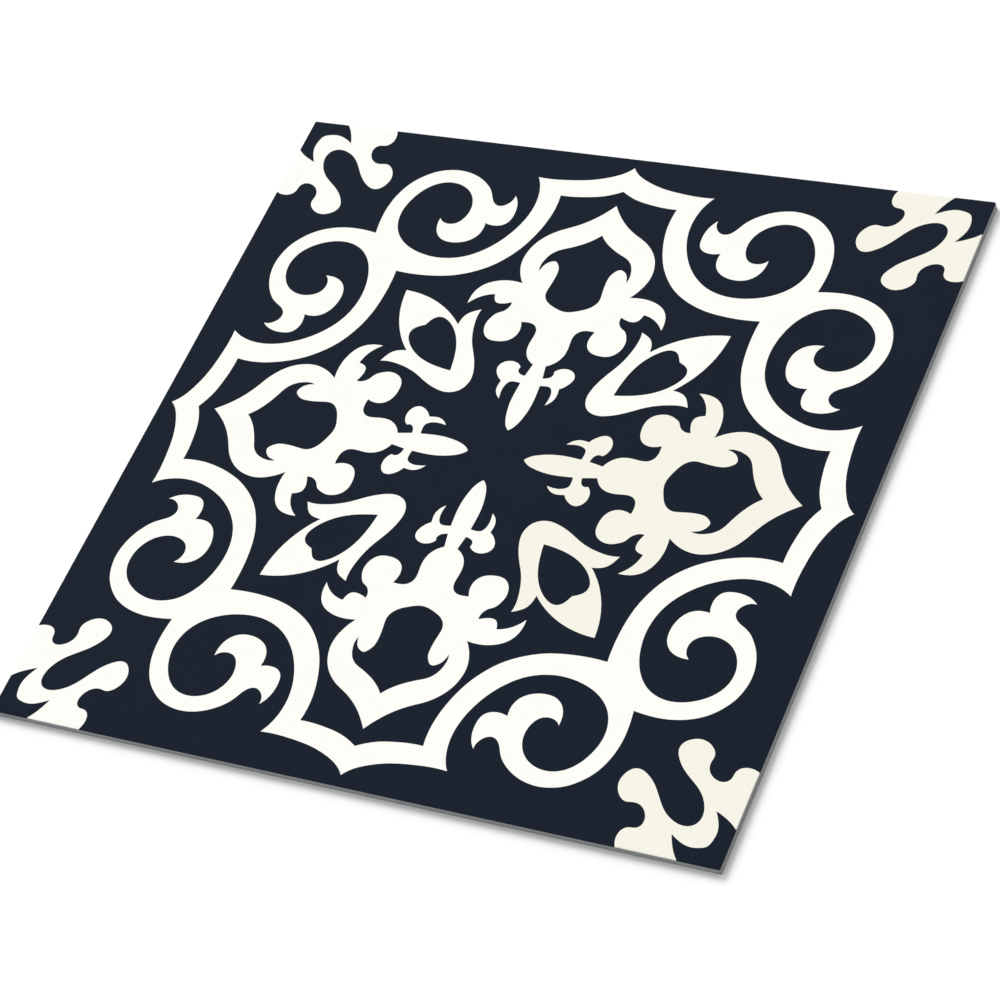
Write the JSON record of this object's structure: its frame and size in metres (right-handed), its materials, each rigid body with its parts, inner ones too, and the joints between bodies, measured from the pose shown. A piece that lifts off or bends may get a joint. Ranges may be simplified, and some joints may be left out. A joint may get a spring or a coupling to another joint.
{
  "type": "vinyl floor tile",
  "caption": "Thin square vinyl floor tile with square-cut edges and a printed scrollwork face, glued down edge to edge with its neighbours.",
  "frame": {"origin": "middle of the underside, on the floor that the tile lies on", "axes": "+Z out of the printed wear face, +X and +Y along two edges; the print is the same along both"},
  "size_m": [0.3048, 0.3048, 0.0032],
  "materials": {
    "printed_vinyl": "satin"
  },
  "bodies": {
    "root": {"vinyl_tile": "printed_vinyl"}
  },
  "joints": []
}
